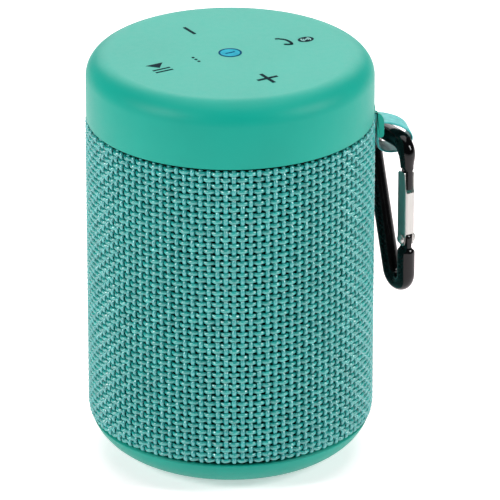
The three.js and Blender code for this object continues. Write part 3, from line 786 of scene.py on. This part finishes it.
def make_hook():
    path, at = hook_path()
    left = at[-1] - at
    tang_start = RIVET.z + BLADE_DEEP - TANG_SHOULDER
    nose_start = NOSE_SHOULDER - NOSE_LOW
    round_part = blend(at, tang_start - 0.1, tang_start + 1.8) * blend(
        left, nose_start - 0.1, nose_start + 1.0)
    tang = np.sqrt(np.clip(BLADE_DEEP ** 2 - np.clip(BLADE_DEEP - at, 0, BLADE_DEEP) ** 2,
                           0.02, None))
    nose = BLADE_DEEP * np.sqrt(np.clip(1 - np.clip(1 - left / 0.5, 0, 1) ** 2, 0.3, 1))
    deep = np.minimum(tang, nose)
    in_plane = deep + (WIRE_R - deep) * round_part
    thin = BLADE_HALF * np.sqrt(np.clip(1 - np.clip(1 - left / 0.35, 0, 1) ** 2, 0.25, 1))
    across = thin + (WIRE_R - thin) * round_part
    taper = 1 - 0.26 * (1 - blend(left, nose_start, nose_start + 6))
    in_plane, across = in_plane * taper ** round_part, across * taper ** round_part
    power = 5 - 3 * round_part
    line = np.stack([path[:, 0], np.zeros(len(path)), path[:, 1]], axis=1)
    points, faces = swept(from_hook(line), np.array(HOOK_N), across, in_plane, 28,
                          power=power)
    hook = make_object("hook_wire", points, faces, black_enamel, body="carabiner",
                       slot="black_enamel")
    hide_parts("carabiner_body")


def make_gate():
    """A folded channel: one strip bent to a U, with its ends shaped column by column."""
    sheet = 0.4
    half_n = BLADE_HALF + 0.3 + sheet / 2
    depth = 1.9
    web_u = depth - sheet / 2
    bend = 0.7
    top = node_box("carabiner_gate")[1][2]
    section = [(-depth, -half_n), (-depth + 0.1, -half_n)]
    section += [(u, -half_n) for u in np.linspace(-depth + 0.5, web_u - bend, 9)]
    section += arc(web_u - bend, -half_n + bend, bend, bend, -90, 0, 8)[1:]
    section += [(web_u, 0.0)]
    section += arc(web_u - bend, half_n - bend, bend, bend, 0, 90, 8)
    section += [(u, half_n) for u in np.linspace(web_u - bend, -depth + 0.5, 9)][1:]
    section += [(-depth + 0.1, half_n), (-depth, half_n)]
    section = np.array(section)
    along = np.linspace(0, 1, 40)
    columns = len(section)
    in_web = blend(section[:, 0], web_u - bend * 0.9, web_u - bend * 0.1)
    wall_low = RIVET.z - np.sqrt(np.clip(depth ** 2 - section[:, 0] ** 2, 0.0, None))
    low = wall_low + (RIVET.z + 1.7 - wall_low) * in_web
    edge = 0.5 * blend(-section[:, 0], depth - 0.7, depth)
    high = top - edge + (NOSE_LOW - 0.5 - top) * in_web
    z = low[:, None] + (high - low)[:, None] * along[None, :]
    u = np.broadcast_to(section[:, 0][:, None], z.shape)
    n = np.broadcast_to(section[:, 1][:, None], z.shape)
    points = from_hook(np.stack([u, n, z], axis=2).reshape(-1, 3))
    faces = grid_faces(columns, len(along), close_columns=False)
    gate = make_object("gate_channel", points, faces, gate_steel, body="gate",
                       slot="gate_steel")
    thick = gate.modifiers.new("sheet", "SOLIDIFY")
    thick.thickness = sheet * MM
    thick.offset = 0
    soften(gate, 0.1, 2, 40)
    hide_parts("carabiner_gate")

    head_in = BLADE_HALF + 0.3 + sheet + 0.08
    head_out = head_in + 1.0
    head = arc(0, 0, 1.35, head_out - head_in, 0, 84, 10)
    side = [(r, head_in + h) for r, h in head]
    profile = ([(0.01, -head_out)] + [(r, -h) for r, h in side[::-1]]
               + [(0.6, -head_in), (0.6, head_in)] + side + [(0.01, head_out)])
    points, faces = turned(profile, 40)
    points = np.stack([points[:, 0], -points[:, 2], points[:, 1] + RIVET.z], axis=1)
    rivet = make_object("rivet", from_hook(points), faces, gate_steel, body="carabiner",
                        slot="gate_steel")
    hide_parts("gate_rivet")


def make_bar():
    half = 5.2
    r = 0.5
    profile = [(0.01, -half), (r - 0.15, -half), (r, -half + 0.15), (r, half - 0.15),
               (r - 0.15, half), (0.01, half)]
    points, faces = turned(profile, 32)
    bar_r = math.hypot(BAR.x, BAR.y)
    points = np.stack([points[:, 0] + bar_r - 0.3, -points[:, 2], points[:, 1] + BAR.z], axis=1)
    bar = make_object("lug_pin", turn_to_lug(points), faces, bright_steel,
                      slot="bright_steel")
    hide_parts("strap_bar")


# ---------------------------------------------------------------- rear port

def rounded_rectangle(half_w, half_h, corner, steps=6):
    outline = []
    for cx, cy, a in ((1, 1, 0), (-1, 1, 90), (-1, -1, 180), (1, -1, 270)):
        outline += arc(cx * (half_w - corner), cy * (half_h - corner), corner, corner,
                       a, a + 90, steps)
    return np.array(outline)


def on_cylinder(flat, radius, middle_z):
    """Flat (sideways, up) points laid on a cylinder's rear side."""
    angle = flat[:, 0] / SLEEVE_R
    return np.stack([-radius * np.sin(angle), radius * np.cos(angle),
                     middle_z + flat[:, 1]], axis=1)


def loft(rings, close_rows=False):
    return np.concatenate(rings), grid_faces(len(rings), len(rings[0]), close_rows=close_rows)


def make_port():
    middle = (COVER_LOW[2] + COVER_HIGH[2]) / 2
    half_w, half_h = COVER_HIGH[0], (COVER_HIGH[2] - COVER_LOW[2]) / 2
    outer_r, inner_r = 38.65, 37.3
    rings = []
    for inset, radius in ((0.5, inner_r), (0.1, inner_r + 0.1), (0, inner_r + 0.4),
                          (0, outer_r - 0.45), (0.12, outer_r - 0.15), (0.45, outer_r),
                          (1.2, outer_r + 0.02)):
        flat = rounded_rectangle(half_w - inset, half_h - inset, 1.5 - inset * 0.6)
        rings.append(on_cylinder(flat, radius, middle))
    points, faces = loft(rings)
    count = len(rings[0])
    faces = [f[::-1] for f in faces]
    faces.append(tuple(range(count)))
    faces.append(tuple(len(points) - count + i for i in range(count))[::-1])
    cover = make_object("port_flap", points, faces, base_rubber, body="flap",
                        slot="flap_rubber")
    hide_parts("port_cover")

    outer_w, outer_h = PORT_HIGH[0], (PORT_HIGH[2] - PORT_LOW[2]) / 2
    rings = []
    for w, h, corner, radius in (
            (outer_w, outer_h, 2.4, 34), (outer_w, outer_h, 2.4, 38.2),
            (outer_w - 0.25, outer_h - 0.25, 2.2, 38.48),
            (half_w + 0.55, half_h + 0.55, 1.75, 38.48),
            (half_w + 0.4, half_h + 0.4, 1.6, 38.3), (half_w + 0.4, half_h + 0.4, 1.6, 34)):
        rings.append(on_cylinder(rounded_rectangle(w, h, corner), radius, middle))
    points, faces = loft(rings, close_rows=True)
    bezel = make_object("port_frame", points, [f[::-1] for f in faces], base_rubber,
                        slot="black_plastic")
    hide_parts("port_bezel")


# ---------------------------------------------------------------- camera, lights and floor

CAMERA_ELEVATION = 23.6
CAMERA_DISTANCE = 1.5
CAMERA_LENS = 405.8


def add_area(name, place, target, size, power, size_y=None):
    data = bpy.data.lights.new(name, "AREA")
    data.energy = power
    data.size = size
    if size_y:
        data.shape = "RECTANGLE"
        data.size_y = size_y
    light = bpy.data.objects.new(name, data)
    light.location = place
    light.rotation_euler = (Vector(target) - Vector(place)).to_track_quat("-Z", "Y").to_euler()
    bpy.context.scene.collection.objects.link(light)


def paper():
    """White paper, a little warmer near the object, so its shadow stays a neutral grey."""
    look = Look("floor", Emission_Color=(1, 1, 1, 1), Emission_Strength=0.46, Roughness=0.7)
    x, y, z = look.axes()
    away = look.math("SQRT", look.math("ADD", look.math("MULTIPLY", x, x),
                                       look.math("MULTIPLY", y, y)))
    grain = look.math("MULTIPLY", look.noise(0.02, 2), 0.04)
    far = look.math("ADD", look.math("DIVIDE", away, 1200), grain)
    look.color(far, (0.05, srgb(252, 236, 239)), (0.4, srgb(252, 252, 252)))
    return look.material


def make_stage():
    centre = Vector((0.0052, 0, (cad_box[1][2] + cad_box[0][2]) / 2 - 0.00075))
    elevation = math.radians(CAMERA_ELEVATION)
    camera_data = bpy.data.cameras.new("camera")
    camera_data.lens = CAMERA_LENS
    camera_data.sensor_width = 36
    camera_data.clip_end = 20
    camera = bpy.data.objects.new("camera", camera_data)
    back = Vector((0, -math.cos(elevation), math.sin(elevation)))
    camera.location = centre + back * CAMERA_DISTANCE
    camera.rotation_euler = (-back).to_track_quat("-Z", "Y").to_euler()
    bpy.context.scene.collection.objects.link(camera)
    bpy.context.scene.camera = camera

    size = 6.0
    mesh = bpy.data.meshes.new("floor")
    mesh.from_pydata([(-size, -size, 0), (size, -size, 0), (size, size, 0), (-size, size, 0)],
                     [], [(0, 1, 2, 3)])
    mesh.materials.append(paper())
    floor = bpy.data.objects.new("floor", mesh)
    bpy.context.scene.collection.objects.link(floor)

    world = bpy.data.worlds.new("studio")
    world.use_nodes = True
    background = world.node_tree.nodes["Background"]
    background.inputs["Color"].default_value = (1, 1, 1, 1)
    background.inputs["Strength"].default_value = 0.06
    bpy.context.scene.world = world
    add_area("top_box", (0.04, 0.12, 0.85), (0, 0, 0.1), 0.7, 4.0)
    add_area("back_box", (0, 0.95, 0.6), (0, 0, 0.1), 1.0, 7.6, 0.8)
    add_area("left_box", (-0.55, -0.34, 0.42), (0, 0, 0.05), 0.14, 3.1, 0.26)
    add_area("right_box", (0.58, -0.22, 0.4), (0, 0, 0.05), 0.14, 2.7, 0.26)
    bpy.context.scene.view_settings.view_transform = "Standard"


make_stage()
paint_cad_nodes()
make_sleeve()
make_cap()
make_base()
make_icons()
make_bar()
make_ribbon()
make_hook()
make_gate()
make_port()
